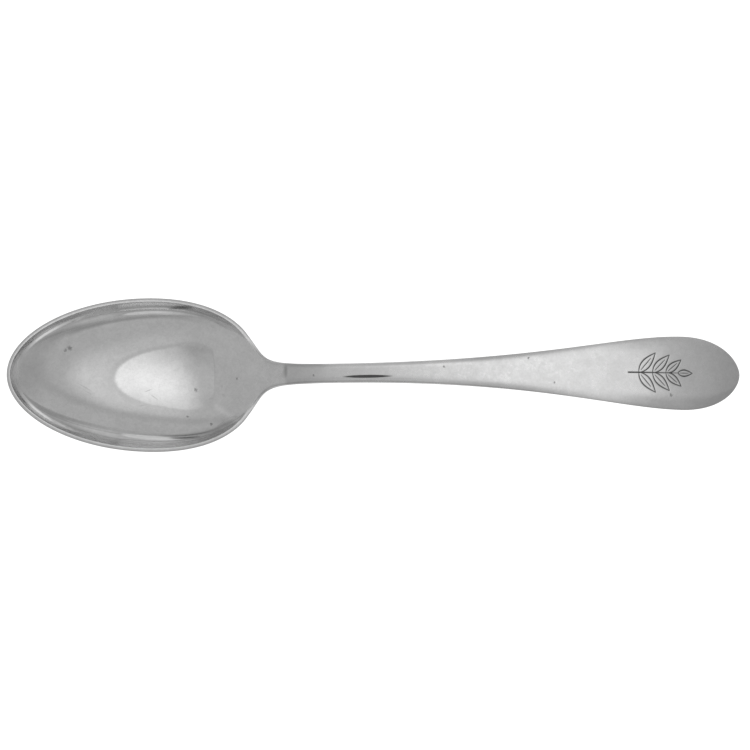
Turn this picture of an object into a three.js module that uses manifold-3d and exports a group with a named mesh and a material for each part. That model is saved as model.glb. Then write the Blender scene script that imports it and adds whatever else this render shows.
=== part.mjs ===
// Demitasse spoon in silver, lying bowl up on a table.
// Three pieces: a sunk bowl, a forged handle whose tongue laps under the bowl's heel, and the film of hard
// solder that joins the two.
// Millimetres, +Z up. +X runs from the bowl's tip to the handle's end, and the two sides across Y are alike.
// The origin is on the table, halfway along the spoon.
import * as THREE from "three";
import { mergeVertices } from "three/addons/utils/BufferGeometryUtils.js";
import Module from "manifold-3d";

const wasm = await Module();
wasm.setup();

// Plan, along the spoon: each length runs from one landmark of the outline to the next.
const TIP_TO_WIDEST = 20.8;
const WIDEST_TO_SHOULDER = 13.6;
const SHOULDER_TO_SEAM = 5.4;
const SEAM_TO_WAIST = 7.2;
const WAIST_TO_BROADEST = 49.6;
const BROADEST_TO_END = 8.4;

// Plan, across the spoon. The shoulder is where the bowl's edge bends over into the neck.
const BOWL_WIDTH = 22.06;
const SHOULDER_WIDTH = 11.7;
const STEM_WIDTH = 2.8;
const HANDLE_WIDTH = 10.54;
const SHOULDER_ANGLE = 52.4;

// How long each curve of the outline holds the direction of its ends, as a share of that curve's own span.
const TIP_HOLD = [0.51, 0.56];
const HEEL_HOLD = [0.77, 0.03];
const NECK_HOLD = [0.4, 0.89];
const GRIP_HOLD = [0.59, 0.19];
const END_HOLD = [0.71, 0.36];

// Bowl: its inside depth under the rim, its wall at the bottom, and the rounded lip along the rim.
const BOWL_DEPTH = 6.4;
const BOWL_WALL = 1.0;
const RIM_WIDTH = 0.5;
const LIP_DROP = 0.35;
const BOWL_FULLNESS = 0.62; // 1 is a parabola across the bowl, and less is rounder
const DEPTH_POWER = 1.5; // how fast the bowl grows shallower as it narrows
const TIP_LEAN = 0.36; // 0 puts the deepest place at the widest, and more moves it towards the tip
const HEEL_RUN = 5; // how far ahead of the shoulder the hollow starts to run out

// Side view: the line of the rim, which runs on as the edge of the stem and handle. Lifts and drops count from
// its height at the widest place. It falls from the tip to the shoulder, rises over the stem, and turns down to
// the end on the table. The turn's height counts from the table.
const TIP_LIFT = 2.6;
const RIM_SLOPE = -0.16;
const SHOULDER_DROP = 1.9;
const SEAM_LIFT = 0.3;
const SEAM_SLOPE = 0.25;
const TURN_TO_END = 22;
const TURN_HEIGHT = 9.1;
const TURN_SLOPE = -0.165;
const END_SLOPE = -0.78;

// Stem and handle in section: crown above the edge line and belly below it, on a rounded outline.
const STEM_CROWN = 1.0;
const STEM_BELLY = 1.25;
const STEM_SQUARENESS = 4.2;
const HANDLE_CROWN = 0.5;
const HANDLE_BELLY = 0.6;
const HANDLE_SQUARENESS = 5;

// Lap joint: the handle's tongue under the bowl's heel, and the solder between them.
const TONGUE_LENGTH = 8;
const TONGUE_WIDTH = 4.2;
const TONGUE_BELLY = 0.9;
const SOLDER_FILM = 0.15;
const SOLDER_CLEARANCE = 0.05;

// Depth that wear has taken off the two places that stand on the table.
const BOWL_REST_CUT = 0.08;
const END_REST_CUT = 0.05;

// Facets.
const BOWL_SPANS = { tip: 16, heel: 14, neck: 8 };
const HANDLE_SPANS = { tongue: 10, neck: 6, grip: 24, end: 12 };
const BOWL_COLUMNS = 24;
const HANDLE_COLUMNS = 14;
const LIP_STEPS = 3;

// Working values: a cubic curve's hold for a quarter circle, and the steps of the searches along the outline.
const QUARTER_CIRCLE_HOLD = 0.5523;
const SEARCH_STEPS = 200;
const HALVINGS = 40;

// Landmarks along the spoon, from the bowl's tip.
const widestX = TIP_TO_WIDEST;
const shoulderX = widestX + WIDEST_TO_SHOULDER;
const seamX = shoulderX + SHOULDER_TO_SEAM;
const waistX = seamX + SEAM_TO_WAIST;
const broadestX = waistX + WAIST_TO_BROADEST;
const endX = broadestX + BROADEST_TO_END;
const tongueX = seamX - TONGUE_LENGTH;

const point = (x, y) => new THREE.Vector2(x, y);
const ease = THREE.MathUtils.smoothstep;
const mix = THREE.MathUtils.lerp;

/** A cubic curve from a to b that leaves a along leave and reaches b along arrive. */
function bend(a, leave, b, arrive) {
  return new THREE.CubicBezierCurve(a, a.clone().add(leave), b.clone().sub(arrive), b);
}

/** One side of the spoon's outline, as five curves from the bowl's tip to the handle's end. */
function spoonOutline() {
  const tip = point(0, 0);
  const widest = point(widestX, BOWL_WIDTH / 2);
  const shoulder = point(shoulderX, SHOULDER_WIDTH / 2);
  const waist = point(waistX, STEM_WIDTH / 2);
  const broadest = point(broadestX, HANDLE_WIDTH / 2);
  const end = point(endX, 0);
  const angle = THREE.MathUtils.degToRad(SHOULDER_ANGLE);
  const inward = point(Math.cos(angle), -Math.sin(angle));
  const along = (length) => point(length, 0);
  const neckSpan = waistX - shoulderX;
  return {
    tip: bend(tip, point(0, TIP_HOLD[0] * widest.y), widest, along(TIP_HOLD[1] * TIP_TO_WIDEST)),
    heel: bend(
      widest,
      along(HEEL_HOLD[0] * WIDEST_TO_SHOULDER),
      shoulder,
      inward.clone().multiplyScalar(HEEL_HOLD[1] * WIDEST_TO_SHOULDER),
    ),
    neck: bend(
      shoulder,
      inward.clone().multiplyScalar(NECK_HOLD[0] * neckSpan),
      waist,
      along(NECK_HOLD[1] * neckSpan),
    ),
    grip: bend(
      waist,
      along(GRIP_HOLD[0] * WAIST_TO_BROADEST),
      broadest,
      along(GRIP_HOLD[1] * WAIST_TO_BROADEST),
    ),
    end: bend(broadest, along(END_HOLD[0] * BROADEST_TO_END), end, point(0, -END_HOLD[1] * broadest.y)),
  };
}

const outline = spoonOutline();

/** The parameter at which a curve that always runs along +X reaches x. */
function parameterAt(curve, x) {
  let low = 0;
  let high = 1;
  for (let halving = 0; halving < HALVINGS; halving++) {
    const middle = (low + high) / 2;
    if (curve.getPoint(middle).x < x) low = middle;
    else high = middle;
  }
  return (low + high) / 2;
}

/** Half the spoon's width at x. */
function halfWidthAt(x) {
  const curves = Object.values(outline);
  const curve = curves.find((c) => x <= c.v3.x) ?? curves.at(-1);
  return curve.getPoint(parameterAt(curve, x)).y;
}

const seamHalf = halfWidthAt(seamX);

/** Unit direction of a cubic curve at t, from its derivative. */
function directionAt(curve, t) {
  const s = 1 - t;
  const leg = (a, b) => b.clone().sub(a);
  return leg(curve.v0, curve.v1)
    .multiplyScalar(s * s)
    .addScaledVector(leg(curve.v1, curve.v2), 2 * s * t)
    .addScaledVector(leg(curve.v2, curve.v3), t * t)
    .normalize();
}

/** Places at equal steps of a curve's parameter, each with the direction out of the spoon. */
function stations(curve, spans, from = 0, to = 1) {
  return Array.from({ length: spans + 1 }, (_, i) => {
    const t = mix(from, to, i / spans);
    const tangent = directionAt(curve, t);
    return { place: curve.getPoint(t), outward: point(-tangent.y, tangent.x) };
  });
}

/** Height of a rounded section at across, from -1 to 1, as a share of its crown: 1 in the middle, 0 at the edge.
 *  reach runs from 1 along the stem down to 0 at a rounded end, so the end's edge is as round as the sides. */
function roundedShare(across, squareness, reach) {
  const fromMiddle = Math.max(0, 1 - (1 - across * across) * reach);
  return Math.sqrt(Math.max(0, 1 - fromMiddle ** (squareness / 2)));
}

/** How far the handle's end reaches below its own edge, where its rounded underside meets the table. */
function endReachBelowEdge() {
  const drops = stations(outline.end, SEARCH_STEPS).map(({ place }) => {
    const reach = (place.y / (HANDLE_WIDTH / 2)) ** 2;
    return HANDLE_BELLY * roundedShare(0, HANDLE_SQUARENESS, reach) + END_SLOPE * (endX - place.x);
  });
  return Math.max(...drops);
}

/** Height at x of a line of cubic pieces that pass each knot at its slope. */
function lineHeight(knots, x) {
  const i = Math.max(1, knots.findIndex((knot) => x <= knot.x));
  const a = knots[i - 1];
  const b = knots[i];
  const span = b.x - a.x;
  const t = (x - a.x) / span;
  const s = 1 - t;
  const hold = t * s * s * span * a.slope - t * t * s * span * b.slope;
  return s * s * (1 + 2 * t) * a.z + t * t * (3 - 2 * t) * b.z + hold;
}

/** 0 in the bowl and 1 at the seam: how far the hollow has run out into the stem. */
const heelBlend = (x) => ease(x, shoulderX - HEEL_RUN, seamX);

/** Depth of a hollow at across, from -1 to 1, as a share of its depth in the middle. */
const hollowShare = (across) => Math.max(0, 1 - across * across) ** BOWL_FULLNESS;

/** Depth of a hollow along the midline, where its half width is widthShare of its widest. */
function unscaledDepth(x, widthShare) {
  const lean = 1 + (TIP_LEAN * (widestX - x)) / TIP_TO_WIDEST;
  return widthShare ** DEPTH_POWER * lean * (1 - heelBlend(x));
}

const bowlPlaces = [outline.tip, outline.heel].flatMap((curve) =>
  stations(curve, SEARCH_STEPS).map(({ place }) => place),
);
const deepest = Math.max(...bowlPlaces.map(({ x, y }) => unscaledDepth(x, y / (BOWL_WIDTH / 2))));

/** The same depth as a share of the depth at the deepest place. */
const depthShare = (x, widthShare) => unscaledDepth(x, widthShare) / deepest;

/** Depth of the outside along the midline, under the lip. */
const outsideDepth = (x, half) => (BOWL_DEPTH + BOWL_WALL - LIP_DROP) * depthShare(x, half / (BOWL_WIDTH / 2));

const rimKnots = [
  { x: 0, z: TIP_LIFT, slope: (-2 * TIP_LIFT) / TIP_TO_WIDEST - RIM_SLOPE },
  { x: widestX, z: 0, slope: RIM_SLOPE },
  { x: shoulderX, z: -SHOULDER_DROP, slope: 0 },
  { x: seamX, z: SEAM_LIFT, slope: SEAM_SLOPE },
];

/** How far the bowl's lowest place lies under the rim at the widest place. */
function bowlReachBelowRim() {
  const drops = bowlPlaces.map(({ x, y }) => LIP_DROP + outsideDepth(x, y) - lineHeight(rimKnots, x));
  return Math.max(...drops);
}

const rimHeight = bowlReachBelowRim() - BOWL_REST_CUT;
const edgeKnots = [
  ...rimKnots.map((knot) => ({ ...knot, z: rimHeight + knot.z })),
  { x: endX - TURN_TO_END, z: TURN_HEIGHT, slope: TURN_SLOPE },
  { x: endX, z: endReachBelowEdge() - END_REST_CUT, slope: END_SLOPE },
];

/** Height of the edge line at x, with the bowl's lowest place and the handle's end on the table. */
const edgeHeight = (x) => lineHeight(edgeKnots, x);

/** Height of the bowl's inside where the hollow is half wide and across runs from -1 to 1. */
function insideHeight(x, half, across) {
  const blend = heelBlend(x);
  const depth = BOWL_DEPTH * depthShare(x, half / (BOWL_WIDTH / 2 - RIM_WIDTH));
  const crown = STEM_CROWN * blend * roundedShare(across, STEM_SQUARENESS, 1);
  return edgeHeight(x) - depth * hollowShare(across) + crown;
}

/** Height of the bowl's outside at x and y. At the seam it has run out to a flat lap. */
function outsideHeight(x, y) {
  const half = halfWidthAt(x);
  const across = half > 0 ? y / half : 0;
  const bowl = 1 - heelBlend(x);
  return edgeHeight(x) - LIP_DROP * bowl - outsideDepth(x, half) * hollowShare(across);
}

/** Positions from -1 to 1 across the spoon, closer together towards the edges. */
function columns(count) {
  return Array.from({ length: count + 1 }, (_, i) => Math.sin((i / count - 0.5) * Math.PI));
}

/** Closed skin through rings of points, each with rows top (from -Y to +Y), right, bottom and left. A ring may
 *  shrink to a line or a point, and the triangles that this flattens are left out. */
function loft(rings) {
  const flat = rings.map(({ top, right = [], bottom, left = [] }) => [...top, ...right, ...bottom, ...left]);
  const count = flat[0].length;
  const triangles = [];
  const quad = (a, b, c, d) => triangles.push([a, b, c], [a, c, d]);
  for (let r = 0; r + 1 < flat.length; r++) {
    for (let i = 0; i < count; i++) {
      const next = (i + 1) % count;
      quad(r * count + i, (r + 1) * count + i, (r + 1) * count + next, r * count + next);
    }
  }
  const topCount = rings[0].top.length;
  const bottomStart = topCount + (rings[0].right?.length ?? 0);
  const below = (i) => bottomStart + topCount - 1 - i;
  const last = (flat.length - 1) * count;
  for (let i = 0; i + 1 < topCount; i++) {
    quad(i, i + 1, below(i + 1), below(i));
    quad(last + i, last + below(i), last + below(i + 1), last + i + 1);
  }
  const loose = new THREE.BufferGeometry();
  loose.setFromPoints(flat.flat());
  loose.setIndex(triangles.flat());
  const merged = mergeVertices(loose);
  const kept = [];
  for (let i = 0; i < merged.index.count; i += 3) {
    const [a, b, c] = [0, 1, 2].map((k) => merged.index.getX(i + k));
    if (a !== b && b !== c && a !== c) kept.push(a, b, c);
  }
  merged.setIndex(kept);
  return merged;
}

/** A closed geometry as a solid that can be cut and joined. */
function solidOf(geometry) {
  return new wasm.Manifold(
    new wasm.Mesh({
      numProp: 3,
      vertProperties: geometry.attributes.position.array,
      triVerts: new Uint32Array(geometry.index.array),
    }),
  );
}

/** A solid's surface as a geometry. */
function geometryOf(solid) {
  const mesh = solid.getMesh();
  const geometry = new THREE.BufferGeometry();
  geometry.setAttribute("position", new THREE.BufferAttribute(mesh.vertProperties, 3));
  geometry.setIndex(new THREE.BufferAttribute(mesh.triVerts, 1));
  return geometry;
}

/** The bowl before wear: its hollow inside, a quarter-round lip along the rim, and its outside. */
function unwornBowl() {
  const line = [
    ...stations(outline.tip, BOWL_SPANS.tip),
    ...stations(outline.heel, BOWL_SPANS.heel).slice(1),
    ...stations(outline.neck, BOWL_SPANS.neck, 0, parameterAt(outline.neck, seamX)).slice(1),
  ];
  const across = columns(BOWL_COLUMNS);
  const rings = line.map(({ place, outward }) => {
    const lip = 1 - heelBlend(place.x);
    const inner = place.clone().addScaledVector(outward, -RIM_WIDTH * lip);
    const onLip = (side, step) => {
      const turn = ((step / LIP_STEPS) * Math.PI) / 2;
      const share = Math.sin(turn);
      return new THREE.Vector3(
        mix(inner.x, place.x, share),
        side * mix(inner.y, place.y, share),
        mix(edgeHeight(inner.x), edgeHeight(place.x), share) - LIP_DROP * lip * (1 - Math.cos(turn)),
      );
    };
    const between = Array.from({ length: LIP_STEPS - 1 }, (_, i) => i + 1);
    return {
      top: across.map((v) => new THREE.Vector3(inner.x, v * inner.y, insideHeight(inner.x, inner.y, v))),
      right: between.map((step) => onLip(1, step)),
      bottom: across.toReversed().map((v) => {
        const y = v * place.y;
        return new THREE.Vector3(place.x, y, outsideHeight(place.x, y));
      }),
      left: between.toReversed().map((step) => onLip(-1, step)),
    };
  });
  return solidOf(loft(rings));
}

/** Plan of the tongue: a round tip, then a taper to the stem's width at the seam. */
function tongueOutline() {
  const round = TONGUE_WIDTH / 2;
  const hold = QUARTER_CIRCLE_HOLD * round;
  const tip = point(tongueX, 0);
  const broad = point(tongueX + round, round);
  const seam = point(seamX, seamHalf);
  const taper = (seamX - broad.x) / 3;
  const tangent = directionAt(outline.neck, parameterAt(outline.neck, seamX));
  return {
    tip: bend(tip, point(0, hold), broad, point(hold, 0)),
    taper: bend(broad, point(taper, 0), seam, tangent.multiplyScalar(taper)),
  };
}

/** One ring of the handle: rounded above and below a surface at height(y), out to half. */
function handleRing(x, half, height, section) {
  const across = columns(HANDLE_COLUMNS);
  const share = (v) => roundedShare(v, section.squareness, section.reach);
  const at = (v, lift) => new THREE.Vector3(x, v * half, height(v * half) + lift);
  return {
    top: across.map((v) => at(v, section.crown * share(v))),
    bottom: across.toReversed().map((v) => at(v, -section.belly * share(v))),
  };
}

/** The handle with its tongue, before the tongue is cut back to seat under the bowl. */
function uncutHandle() {
  const tongue = tongueOutline();
  const tongueLine = [
    ...stations(tongue.tip, HANDLE_SPANS.tongue),
    ...stations(tongue.taper, HANDLE_SPANS.tongue).slice(1, -1),
  ];
  const rings = tongueLine.map(({ place }) => {
    const atTip = place.x < tongueX + TONGUE_WIDTH / 2;
    return handleRing(place.x, place.y, (y) => outsideHeight(place.x, y), {
      crown: STEM_CROWN,
      belly: mix(TONGUE_BELLY, STEM_BELLY, ease(place.x, tongueX, seamX)),
      squareness: STEM_SQUARENESS,
      reach: atTip ? (place.y / (TONGUE_WIDTH / 2)) ** 2 : 1,
    });
  });
  const stemLine = [
    ...stations(outline.neck, HANDLE_SPANS.neck, parameterAt(outline.neck, seamX), 1),
    ...stations(outline.grip, HANDLE_SPANS.grip).slice(1),
    ...stations(outline.end, HANDLE_SPANS.end).slice(1),
  ];
  for (const { place } of stemLine) {
    const flatness = ease(place.x, waistX, broadestX);
    rings.push(
      handleRing(place.x, place.y, () => edgeHeight(place.x), {
        crown: mix(STEM_CROWN, HANDLE_CROWN, flatness),
        belly: mix(STEM_BELLY, HANDLE_BELLY, flatness),
        squareness: mix(STEM_SQUARENESS, HANDLE_SQUARENESS, flatness),
        reach: place.x > broadestX ? (place.y / (HANDLE_WIDTH / 2)) ** 2 : 1,
      }),
    );
  }
  return solidOf(loft(rings));
}

/** The space that the bowl's heel takes in the handle, with a gap under it and beyond its end. */
function heelSpace(gap) {
  const margin = STEM_WIDTH;
  const half = TONGUE_WIDTH / 2 + margin;
  const startX = tongueX - margin;
  const stopX = seamX + gap;
  const spans = 2 * HANDLE_SPANS.tongue;
  const across = columns(HANDLE_COLUMNS);
  const rings = Array.from({ length: spans + 1 }, (_, i) => {
    const x = mix(startX, stopX, i / spans);
    const roof = edgeHeight(x) + 2 * STEM_CROWN;
    return {
      top: across.map((v) => new THREE.Vector3(x, v * half, roof)),
      bottom: across.toReversed().map((v) => new THREE.Vector3(x, v * half, outsideHeight(x, v * half) - gap)),
    };
  });
  return solidOf(loft(rings));
}

/** The space under the table top, as a block that cuts the worn flats. */
function underTable() {
  const block = new THREE.BoxGeometry(2 * endX, 2 * BOWL_WIDTH, rimHeight);
  block.translate(endX / 2, 0, -rimHeight / 2);
  block.deleteAttribute("normal");
  block.deleteAttribute("uv");
  return solidOf(mergeVertices(block));
}

const silver = () => new THREE.MeshStandardMaterial({ color: 0xc4c4c4, metalness: 1, roughness: 0.22 });
const solder = () => new THREE.MeshStandardMaterial({ color: 0x9a9a98, metalness: 1, roughness: 0.4 });

const spoon = new THREE.Group();

function add(name, solid, material) {
  const mesh = new THREE.Mesh(geometryOf(solid), material);
  mesh.name = name;
  mesh.position.x = -endX / 2;
  spoon.add(mesh);
}

const blank = uncutHandle();
const table = underTable();
const seatSpace = heelSpace(SOLDER_CLEARANCE + SOLDER_FILM);
add("bowl", unwornBowl().subtract(table), silver());
add("handle", blank.subtract(seatSpace).subtract(table), silver());
add("solder_seam", blank.intersect(seatSpace).subtract(heelSpace(SOLDER_CLEARANCE)), solder());

export default spoon;
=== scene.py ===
import bmesh
import bpy
import numpy as np
from mathutils import Matrix


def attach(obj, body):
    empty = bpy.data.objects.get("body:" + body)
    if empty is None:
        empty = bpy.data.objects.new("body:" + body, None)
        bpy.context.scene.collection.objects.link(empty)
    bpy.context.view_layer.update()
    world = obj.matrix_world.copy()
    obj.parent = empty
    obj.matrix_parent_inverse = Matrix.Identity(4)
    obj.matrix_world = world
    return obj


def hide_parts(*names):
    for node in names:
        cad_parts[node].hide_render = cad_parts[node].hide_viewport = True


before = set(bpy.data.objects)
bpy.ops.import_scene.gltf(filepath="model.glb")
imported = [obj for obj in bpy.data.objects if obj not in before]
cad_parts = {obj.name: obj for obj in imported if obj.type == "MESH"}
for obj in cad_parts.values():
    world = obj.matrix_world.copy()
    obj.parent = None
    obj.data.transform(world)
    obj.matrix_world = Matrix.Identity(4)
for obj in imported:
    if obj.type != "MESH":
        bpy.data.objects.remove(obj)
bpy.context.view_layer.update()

METRES = 0.001
TINY = 1e-9

# Landmarks along the spoon.
WIDEST = 20.8
SHOULDER = 34.4
SEAM = 39.8
WAIST = 47.0
BROADEST = 96.6
END = 105.0

# Half widths at the landmarks, and how long each curve of the outline holds the direction of its ends.
BOWL_HALF = 11.03
SHOULDER_HALF = 5.85
STEM_HALF = 1.4
HANDLE_HALF = 5.27
SHOULDER_ANGLE = np.radians(52.4)
TIP_HOLD = (0.51, 0.56)
HEEL_HOLD = (0.77, 0.03)
NECK_HOLD = (0.4, 0.89)
GRIP_HOLD = (0.59, 0.19)
END_HOLD = (0.71, 0.36)

# Bowl in section.
BOWL_DEPTH = 6.4
BOWL_WALL = 1.0
RIM_WIDTH = 0.5
RIM_RUN_OUT = 1.0
LIP_DROP = 0.35
BOWL_FULLNESS = 0.62
DEPTH_POWER = 1.5
TIP_LEAN = 0.36
HEEL_RUN = 5.0
WALL_FROM = 0.88
BOWL_REST_CUT = 0.08

# Burnished gutter on the bowl's wall by the tip: distances from the rim, how much of the climb it holds
# back, how much nearer the tip it lies on the -Y side, where along the bowl it rises and fades, and the
# least distance from the lip that it is worked out with.
GUTTER_START = 1.40
GUTTER_CREST = 1.02
GUTTER_STOP = 0.62
GUTTER_HOLD = 0.88
GUTTER_LEAD = 1.0
GUTTER_ALONG = (1.0, 4.6, 5.5, 13.0)
LEAST_RUN = 0.05

# Side view of the edge line.
TIP_LIFT = 2.6
RIM_SLOPE = -0.16
SHOULDER_DROP = 1.9
SEAM_LIFT = 0.3
SEAM_SLOPE = 0.25
TURN = 83.0
TURN_HEIGHT = 9.1
TURN_SLOPE = -0.165
END_SLOPE = -0.78
END_REST_CUT = 0.05

# Stem and handle in section.
STEM_CROWN = 0.996
STEM_BELLY = 1.25
STEM_SQUARENESS = 4.2
HANDLE_CROWN = 0.496
HANDLE_BELLY = 0.6
HANDLE_SQUARENESS = 5.0

# Lap joint under the heel.
TONGUE = 31.8
TONGUE_HALF = 2.1
TONGUE_BELLY = 0.9
SOLDER_TOP = 0.005
SOLDER_FOOT = 0.20

# Engraved sprig on the handle's end. A leaf is its base along the stalk, length, angle in degrees and
# fullness. Half widths of its cuts run from their ends to their middles, the stalk's from foot to top. The
# mesh is finer from SPRIG_BACK before the middle to SPRIG_FRONT after it, and cuts lie inside SPRIG_AREA.
SPRIG_MIDDLE = 93.4
SPRIG_BACK = 5.4
SPRIG_FRONT = 5.0
SPRIG_AREA = (5.2, 4.2)
STALK = (-4.5, 2.7)
STALK_HALF = (0.14, 0.08)
LEAF_PAIRS = ((-3.0, 3.7, 50, 0.62), (-1.0, 3.5, 47, 0.60), (0.9, 2.9, 41, 0.52))
END_LEAF = (2.6, 2.1, 0, 0.45)
LEAF_HALF = (0.07, 0.13)
VEIN = (0.12, 0.72)
VEIN_HALF = (0.05, 0.09)
CUT_SLOPE = 0.75

# Worn nick on the stem.
NICK_ALONG = 51.55
NICK_ACROSS = -0.57
NICK_REACH = 3.6
NICK_HALF = 0.24
NICK_DEPTH = 0.05

# Painted reflections of dark things in the room, as dark spindles on the bowl's wall: side, darkness, the two
# places along between which one lies, its distance from the rim at the first, how fast it nears the rim, and
# its half width.
PAINTED_REFLECTION_SLIVERS = (
    (1, 0.85, (22.9, 26.8), 1.25, 0.14, 0.3),
    (-1, 0.95, (22.9, 28.1), 2.12, 0.135, 0.2),
    (-1, 0.30, (25.0, 33.0), 1.85, 0.09, 0.5),
    (1, 0.27, (8.5, 28.5), 2.72, 0.026, 0.42),
)

# Bright streak across the bowl's floor by the heel.
STREAK_START = (29.8, -4.2)
STREAK_RUN = (3.0, -2.3)
STREAK_HALF = 0.4
STREAK_RUB = 0.6

# Tarnish by the seam: its strength, its middle and reach along from the seam, and the same across.
SEAM_TARNISH = 0.5
SEAM_ALONG = (0.1, 0.36)
SEAM_ACROSS = (0.35, 1.0)

# Other tarnish and scuffs, from 0 to 1; the stem, low edge, end and wall amounts are painted shade, and the
# tip amount darkens the wall at the very tip.
STEM_PAINTED_SHADE = 0.22
LOW_EDGE_PAINTED_SHADE = 0.22
END_PAINTED_SHADE = 0.14
WALL_PAINTED_SHADE = 0.12
TIP_WALL_DARKENING = 0.2
LIP_SCUFF = 0.75
TIP_SCUFF = 0.5
TAB_SCUFF = 0.5
RUB_SCUFF = 0.1

# Where wear and painted light rise, are full, fade and stop along the spoon, and the distances from the rim
# that they lie between on the bowl's wall: the grip, flanks and crescents are painted highlight, the wall
# painted shade.
GRIP_ALONG = (66.0, 90.0, 90.0, 97.0)
FLANKS_ALONG = (44.0, 48.0, 62.0, 70.0)
WALL_ALONG = (12.0, 18.0, 28.0, 32.0)
RUN_OUT_ALONG = (5.5, 8.0, 11.5, 14.0)
CRESCENT_ALONG = (1.6, 3.4, 9.0, 17.0)
WALL_BAND = (0.8, 2.4)
TIP_BAND = (0.6, 4.0)
CRESCENT_NEAR = 0.65
CRESCENT_FAR = (1.6, 1.2)
LIP_BAND = (0.5, 0.75)
BAND_EDGE = 0.25

# Pits: places along and across and a size, how dark they are, and how uneven their edges are.
BOWL_PITS = (
    (8.87, 4.08, 0.55),
    (8.29, 3.76, 0.36),
    (32.9, -0.29, 0.3),
    (26.9, -1.82, 0.36),
    (25.68, -5.64, 0.3),
    (29.15, -6.88, 0.36),
)
HANDLE_PITS = (
    (78.3, -1.55, 0.24),
    (43.9, -0.3, 0.24),
    (95.0, -3.2, 0.34),
    (74.6, 1.9, 0.22),
    (62.5, 0.7, 0.2),
)
PIT_DARKNESS = 0.6
PIT_UNEVENNESS = 0.16

# Hairline scratches and smudges in the bowl: places along and across, angle in degrees, length, width
# and darkness, and the height over and under the metal that they reach.
BOWL_HAIRLINES = (
    (20.1, -1.86, 20, 1.6, 0.26, 0.3),
    (20.94, -2.83, -37, 1.9, 0.26, 0.25),
    (19.27, -4.04, 11, 2.2, 0.3, 0.15),
    (11.11, -1.5, -30.5, 3.4, 0.24, 0.18),
    (11.5, -2.2, -25, 1.6, 0.24, 0.12),
    (30.68, -1.34, 80, 0.8, 0.5, 0.13),
    (30.93, -2.7, -40, 1.0, 0.6, 0.13),
    (29.1, -3.1, 20, 1.1, 0.4, 0.1),
)
HAIRLINE_REACH = 0.8

# Noise in the silver: features per millimetre, detail, roughness and distortion.
CLOUDS = (0.22, 5.0, 0.62, 0.4)
BLOTCHES = (1.1, 4.0, 0.65, 0.6)
SPECKS = (3.4, 3.0, 0.7)
GRAIN = (9.0, 3.0, 0.6)
CLOUD_SHARE = 0.32
BLOTCH_SHARE = 0.36
SPECK_SHARE = 0.32
HAZE_RANGE = (0.36, 0.64)

# Fine scratches all over the silver: angles in degrees, size along, across and in height, where the noise
# that makes them peaks and how soft that is, the shift from angle to angle, and their shade.
SCRATCH_ANGLES = (14, 58, 103, 151, 172)
SCRATCH_LENGTH = 3.2
SCRATCH_WIDTH = 0.045
SCRATCH_REACH = 5.0
SCRATCH_PEAK = 0.75
SCRATCH_EDGE = 0.08
SCRATCH_SHIFT = (7.3, 3.1)
SCRATCH_SHADE = 0.2
SCRATCH_GREY = 0.3

# How much brighter rub and painted highlight make the silver, how dark tarnish and painted shade make it, and
# what wear adds to the roughness.
RUB_AND_HIGHLIGHT_GAIN = 1.22
TARNISH_AND_SHADE_GREY = 0.12
SCRATCH_ROUGHNESS = 0.05
SCUFF_ROUGHNESS = 0.45
TARNISH_AND_SHADE_ROUGHNESS = 0.25

# Steps of the meshes, along the pieces and across them.
FINE_STEPS = 6000
RIM_SAMPLES = 220
TIP_STEPS = 130
HEEL_STEPS = 90
NECK_STEPS = 46
STEM_STEPS = 22
GRIP_STEPS = 72
SPRIG_STEPS = 150
BROADEST_STEPS = 30
END_STEPS = 44
LIP_SAMPLES = 10
TONGUE_SAMPLES = 40
TAPER_SAMPLES = 30
SEAT_SAMPLES = 5
LEAF_SAMPLES = 70
STALK_SAMPLES = 160
HOLLOW_COLUMNS = 140
OUTSIDE_COLUMNS = 90
TOP_COLUMNS = 200
BELLY_COLUMNS = 40
SOLDER_COLUMNS = 40
EDGE_CROWDING = 0.7
MERGE_WITHIN = 1e-8
SHARP_ANGLE = np.radians(38)

# Light of the studio: ellipses in the sines of directions along X and Y, and edges as shares of their radii.
ZENITH = (0.0, 0.0)
HORIZON = (1.0, 1.0)
BOX_MIDDLE = (-0.10, 0.06)
BOX_RADII = (0.44, 0.58)
BOX_EDGE = (1.035, 0.965)
RIM_EDGE = (1.16, 1.06)
GLOW_RADII = (0.752, 0.835)
GLOW_EDGE = (1.06, 0.735)
RING_MIDDLE = (-0.15, -0.08)
RING_RADII = (1.06, 0.90)
RING_INNER_EDGE = (0.92, 1.0)
RING_OUTER_EDGE = (1.10, 1.01)

# Strengths of that light, from one side to the other where there are two, and what is taken off the room.
BOX_LIGHT = (0.53, 1.04)
ROOM_LIGHT = 0.469
GLOW_LIGHT = 0.215
BAND_LIGHT = (0.38, 0.29)
FLOOR_LIGHT = 0.72
RIM_SHADE = (0.03, 0.12)
RING_SHADE = (0.0, 0.12)
SIDE_SHADE = (0.0, 0.083)
CORNER_SHADE = (0.0, 0.023)
NEAR_SHADE = (0.0, 0.07)


def ease(x, low, high):
    """Smooth step: 0 up to low, 1 from high, and 3 t^2 - 2 t^3 between them."""
    t = np.clip((x - low) / (high - low), 0.0, 1.0)
    return t * t * (3.0 - 2.0 * t)


def plateau(x, rise, full, fade, stop):
    """0 up to rise and from stop on, 1 from full to fade, and smooth steps between them."""
    return ease(x, rise, full) * (1 - ease(x, fade, stop))


def mix(a, b, share):
    """Straight blend from a at share 0 to b at share 1."""
    return a + (b - a) * share


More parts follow.
